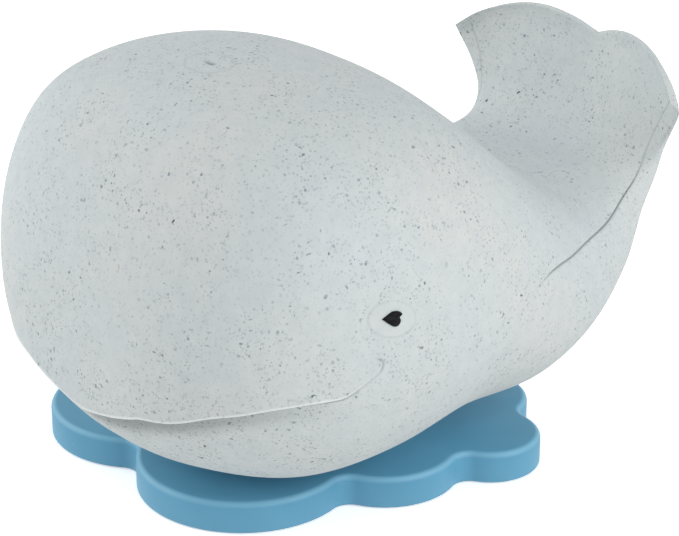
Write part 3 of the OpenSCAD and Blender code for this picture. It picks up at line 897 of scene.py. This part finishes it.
def whale_skin(settings):
    """The whole rubber body as one closed skin: outside, sole, neck, collar and inside."""
    at, tris = refine(*skin_grid(*OUTER_GRID, LAST_STATION), wanted_edge, REFINE_PASSES)
    points, normals = skin_point(at), skin_normal(at)
    relief, crease, pad = whale_relief(points, normals, at, settings)
    rows = np.column_stack([points + relief[:, None] * normals, crease, pad])
    skin = Skin(rows.shape[1])
    outer, foot = add_trimmed(skin, rows, tris, BASE_T)
    foot[:, 2] = BASE_T
    sole = skin.ring(foot)

    at, tris = skin_grid(*INNER_GRID, INSIDE_STATION)
    points = skin_point(at) - WALL * skin_normal(at)
    end = at[:, 0] == INSIDE_STATION
    points[end] = points[end].mean(axis=0) * [1, 0, 1]
    points[at[:, 0] == 0] = [BODY_X + WALL, 0, BODY_Z + STATION_SHARES[0, 1] * BODY_H]
    rows = np.column_stack([points, np.zeros((len(points), 2))])
    inner, root = add_trimmed(skin, rows, tris[:, ::-1], BASE_T + WALL)
    root[:, :2] *= (COLLAR_R / np.hypot(root[:, 0], root[:, 1]))[:, None]
    neck = ((COLLAR_R, NECK_TOP), (NECK_R, NECK_TOP), (NECK_R, BASE_T))
    skin.bands([inner, skin.ring(root), *(skin.circle(*place) for place in neck), sole, outer])
    return skin


class BATHTOY_OT_whale(bpy.types.Operator):
    """Builds the whale's moulded rubber body over its plain solid"""

    bl_idname = "bathtoy.whale"
    bl_label = "Whale body"

    def execute(self, context):
        settings = context.scene.bathtoy_whale
        obj, rows = whale_skin(settings).piece("whale_skin")
        obj.data.set_sharp_from_angle(angle=math.radians(55))
        # This layer holds the painted shade, and the painted highlight on the lip's bead where it
        # is negative
        add_layer(obj, "crease", rows[:, 3])
        add_layer(obj, "pad", rows[:, 4])
        put_material(obj, speckled_rubber(settings))
        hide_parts("whale_body")
        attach(obj, "whale")
        return {"FINISHED"}


def flank_hit(tree, x, z):
    """The left flank's point and outward direction at a place along and up, in millimetres."""
    place, normal, _, _ = tree.ray_cast(Vector((x, -BODY_W, z)) * MM, Vector((0, 1, 0)))
    if place is None:
        raise RuntimeError("a pupil lies beside the whale")
    return np.array(place) / MM, np.array(normal)


class BATHTOY_OT_pupils(bpy.types.Operator):
    """Dabs the two pupils onto the whale's flanks"""

    bl_idname = "bathtoy.pupils"
    bl_label = "Pupils"

    def execute(self, context):
        settings = context.scene.bathtoy_pupils
        whale = bpy.data.objects["whale_skin"].data
        tree = BVHTree.FromPolygons(
            [v.co for v in whale.vertices], [p.vertices for p in whale.polygons],
            all_triangles=True)
        outline = spline(np.concatenate([PUPIL_OUTLINE, PUPIL_OUTLINE[:1]]),
                         np.linspace(0, len(PUPIL_OUTLINE), PUPIL_SAMPLES, endpoint=False))
        rise = settings.rise / MM
        steps = [(1.0, -PUPIL_SINK)] + [(scale, share * rise) for scale, share in PUPIL_DOME]
        material = pupil_paint(settings)
        count = len(outline)
        for side, name, eye in ((1, "pupil_left", "eye_left"), (-1, "pupil_right", "eye_right")):
            points, tris = [], []
            for scale, height in steps:
                for x, z in PUPIL_AT + outline * scale:
                    place, normal = flank_hit(tree, x, z)
                    points.append(place + normal * height)
            last = len(points) - count
            place, normal = flank_hit(tree, *PUPIL_AT)
            points += [place + normal * height, place - normal * PUPIL_SINK]
            for j in range(count):
                after = (j + 1) % count
                for k in range(0, last, count):
                    a, b = k + j, k + after
                    tris += [(a, a + count, b), (b, a + count, b + count)]
                tris += [(last + j, last + count, last + after), (last + count + 1, j, after)]
            skin = Skin(3)
            skin.add(np.array(points) * [1, side, 1], np.array(tris)[:, ::side])
            obj, _ = skin.piece(name)
            put_material(obj, material)
            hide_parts(eye)
            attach(obj, "whale")
        return {"FINISHED"}


def notch_centre(p, q):
    """Centre of the curve that touches two lobes of the splash from outside."""
    r1, r2 = p[2] + NOTCH_R, q[2] + NOTCH_R
    gap = q[:2] - p[:2]
    d = np.linalg.norm(gap)
    along = (d * d + r1 * r1 - r2 * r2) / (2 * d)
    out = math.sqrt(r1 * r1 - along * along)
    e = gap / d
    return p[:2] + along * e + out * np.array([e[1], -e[0]])


def splash_outline(inset):
    """The splash's outline drawn in by a distance: lobes joined by the curves between them."""
    count = len(LOBES)
    points = []
    for i in range(count):
        lobe, after = LOBES[i], LOBES[(i + 1) % count]
        before, following = notch_centre(LOBES[i - 1], lobe), notch_centre(lobe, after)
        a0 = turn_of(before - lobe[:2])
        a1 = a0 + (turn_of(following - lobe[:2]) - a0) % (2 * math.pi)
        b0 = turn_of(lobe[:2] - following)
        b1 = b0 - (b0 - turn_of(after[:2] - following)) % (2 * math.pi)
        steps = max(LOBE_STEPS, round((a1 - a0) * lobe[2] / OUTLINE_SPACING))
        points.append(arc(lobe[:2], lobe[2] - inset, a0, a1, steps))
        steps = max(NOTCH_STEPS, round((b0 - b1) * NOTCH_R / NOTCH_SPACING))
        points.append(arc(following, NOTCH_R + inset, b0, b1, steps)[1:-1])
    return np.concatenate(points)


class BATHTOY_OT_base(bpy.types.Operator):
    """Builds the splash base with its ribbed plug over its plain solid"""

    bl_idname = "bathtoy.base"
    bl_label = "Splash base"

    def execute(self, context):
        settings = context.scene.bathtoy_base
        edge, foot = settings.edge_radius / MM, settings.foot_radius / MM
        skin = Skin(4)
        loops = []
        quarter = np.linspace(0, math.pi / 2, EDGE_STEPS)
        # The last column of each level is the painted highlight on the rounded edges
        levels = [(foot * (1 - math.sin(a)), foot * (1 - math.cos(a)), FOOT_HIGHLIGHT)
                  for a in quarter[::2]]
        levels += [(edge * (1 - math.cos(a)), BASE_T - edge * (1 - math.sin(a)),
                    math.sin(2 * a) ** 2) for a in quarter]
        for inset, height, rim in levels:
            outline = splash_outline(inset)
            rows = np.column_stack([outline, np.tile((height, rim), (len(outline), 1))])
            loops.append(skin.add(rows) + np.arange(len(rows)))
        for low, high in zip(loops, loops[1:]):
            skin.tris.append(quads(low, np.roll(low, -1), high, np.roll(high, -1)))
        under, top = (ring[np.argsort(turn_of(skin.rows[ring]))] for ring in (loops[0], loops[-1]))

        soft = FILLET_SHARE * PLUG_FILLET
        section = [(PLUG_R + PLUG_FILLET, BASE_T), (PLUG_R + soft, BASE_T + soft),
                   (PLUG_R, BASE_T + PLUG_FILLET)]
        pitch = (PLUG_TOP - BASE_T) / (RIB_COUNT + 1)
        for i in range(RIB_COUNT):
            middle = BASE_T + (i + 1) * pitch
            section += [(PLUG_R + RIB_DEPTH * (1 - share * share), middle + share * RIB_W / 2)
                        for share in np.linspace(-1, 1, RIB_STEPS)]
        section += [
            (PLUG_R, PLUG_TOP - PLUG_LEAD),
            (PLUG_R - LEAD_SHARE * PLUG_LEAD, PLUG_TOP - FILLET_SHARE * PLUG_LEAD),
            (PLUG_R - PLUG_LEAD, PLUG_TOP), (POCKET_R + POCKET_EDGE, PLUG_TOP),
            (POCKET_R, PLUG_TOP - POCKET_EDGE), (POCKET_R, POCKET_Z), (AIR_R, POCKET_Z),
            (AIR_R, AIR_EDGE), (AIR_R + AIR_EDGE, 0.0),
        ]
        rings = [skin.circle(radius, height) for radius, height in section]
        skin.bands([under, *rings[::-1], top])
        obj, rows = skin.piece("splash_plate")
        obj.data.set_sharp_from_angle(angle=math.radians(50))
        # The rim layer holds the painted highlight along the rounded edges
        add_layer(obj, "rim", rows[:, 3])
        put_material(obj, blue_rubber(settings))
        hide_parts("splash_base")
        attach(obj, "base")
        return {"FINISHED"}


class BATHTOY_OT_squeaker(bpy.types.Operator):
    """Gives the squeaker's case, cap, plate, clamp and reed their finishes"""

    bl_idname = "bathtoy.squeaker"
    bl_label = "Squeaker"

    def execute(self, context):
        settings = context.scene.bathtoy_squeaker
        for slot, finish, rough, names in SQUEAKER_FINISHES:
            colours = (getattr(settings, f"{finish}_{kind}") for kind in ("colour", "dull"))
            material = squeaker_plastic(slot, *colours, rough)
            for name in names:
                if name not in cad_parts:
                    raise RuntimeError(f"the frame has no {name}")
                put_material(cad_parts[name], material)
        return {"FINISHED"}


def aim(obj, place, target):
    """Puts a lamp or camera at a place, facing a target."""
    obj.location = place
    obj.rotation_euler = (target - place).to_track_quat("-Z", "Y").to_euler()


def add_lamp(name, place, power, size):
    """A soft square lamp that faces the toy."""
    lamp = bpy.data.lights.new(name, "AREA")
    lamp.energy = power
    lamp.shape = "SQUARE"
    lamp.size = size
    aim(add_object(name, lamp), Vector(place), LAMP_TARGET)


def seen_rays(tree):
    """1 where a ray comes from the camera, a mirror or glass."""
    path = node(tree, "ShaderNodeLightPath")
    both = maths(tree, "MAXIMUM", path.outputs["Is Camera Ray"], path.outputs["Is Glossy Ray"])
    return maths(tree, "MAXIMUM", both, path.outputs["Is Transmission Ray"])


class BATHTOY_OT_stage(bpy.types.Operator):
    """Sets the pale floor, soft lamps, white surround and camera"""

    bl_idname = "bathtoy.stage"
    bl_label = "Stage"

    def execute(self, context):
        settings = context.scene.bathtoy_stage
        scene = context.scene
        scene.view_settings.view_transform = "Standard"
        corners = [(x * FLOOR_REACH, y * FLOOR_REACH, FLOOR_LEVEL)
                   for x, y in ((-1, -1), (1, -1), (1, 1), (-1, 1))]
        mesh = bpy.data.meshes.new("studio_floor")
        mesh.from_pydata(corners, [], [(0, 1, 2, 3)])
        floor = add_object("studio_floor", mesh)
        material, tree, shader = new_material("studio_floor")
        fill(tree, shader, Base_Color=settings.floor_colour, Roughness=0.9,
             Specular_IOR_Level=0.0, Emission_Color=(1.0, 1.0, 1.0),
             Emission_Strength=times(tree, seen_rays(tree), FLOOR_GLOW))
        put_material(floor, material)

        world = bpy.data.worlds.new("studio_sky")
        scene.world = world
        world.use_nodes = True
        tree = world.node_tree
        view = node(tree, "ShaderNodeTexCoord").outputs["Generated"]
        up = node(tree, "ShaderNodeSeparateXYZ", Vector=view).outputs["Z"]
        sky = ranged(tree, up, 0, 1, settings.sky, settings.overhead)
        fill(tree, tree.nodes["Background"], Color=(1.0, 1.0, 1.0),
             Strength=maths(tree, "MAXIMUM", seen_rays(tree), sky))

        for name, place, size, power in LAMPS:
            add_lamp(name, place, getattr(settings, power), size)

        camera = bpy.data.cameras.new("photo_view")
        camera.sensor_fit = "HORIZONTAL"
        camera.sensor_width = SENSOR_WIDTH
        camera.lens = settings.lens
        camera.clip_start = NEAREST_SEEN
        flat = math.cos(settings.elevation)
        away = Vector((math.sin(settings.azimuth) * flat, -math.cos(settings.azimuth) * flat,
                       math.sin(settings.elevation)))
        target = Vector((0, 0, settings.target_height))
        scene.camera = add_object("photo_view", camera)
        aim(scene.camera, target + settings.distance * away, target)
        return {"FINISHED"}


class BATHTOY_PT_sidebar(bpy.types.Panel):
    """Lists the pieces of the bath toy and their settings"""

    bl_idname = "BATHTOY_PT_sidebar"
    bl_label = "Bath Toy"
    bl_space_type = "VIEW_3D"
    bl_region_type = "UI"
    bl_category = "Bath Toy"

    def draw(self, context):
        for operator, group, _ in BUILD_ORDER:
            box = self.layout.box()
            box.operator(operator.bl_idname)
            settings = getattr(context.scene, group)
            for name in settings.bl_rna.properties.keys():
                if name not in ("rna_type", "name"):
                    box.prop(settings, name)


BUILD_ORDER = (
    (BATHTOY_OT_stage, "bathtoy_stage", StageSettings),
    (BATHTOY_OT_whale, "bathtoy_whale", WhaleSettings),
    (BATHTOY_OT_pupils, "bathtoy_pupils", PupilSettings),
    (BATHTOY_OT_base, "bathtoy_base", BaseSettings),
    (BATHTOY_OT_squeaker, "bathtoy_squeaker", SqueakerSettings),
)
OPERATORS, NAMES, SETTINGS = zip(*BUILD_ORDER)
CLASSES = (*SETTINGS, *OPERATORS, BATHTOY_PT_sidebar)


def register():
    for cls in CLASSES:
        bpy.utils.register_class(cls)
    for name, group in zip(NAMES, SETTINGS):
        setattr(bpy.types.Scene, name, bpy.props.PointerProperty(type=group))


def unregister():
    for name in NAMES:
        delattr(bpy.types.Scene, name)
    for cls in reversed(CLASSES):
        bpy.utils.unregister_class(cls)


def main():
    register()
    bpy.ops.bathtoy.stage()
    bpy.ops.bathtoy.whale()
    bpy.ops.bathtoy.pupils()
    bpy.ops.bathtoy.base()
    bpy.ops.bathtoy.squeaker()


if __name__ == "__main__":
    main()
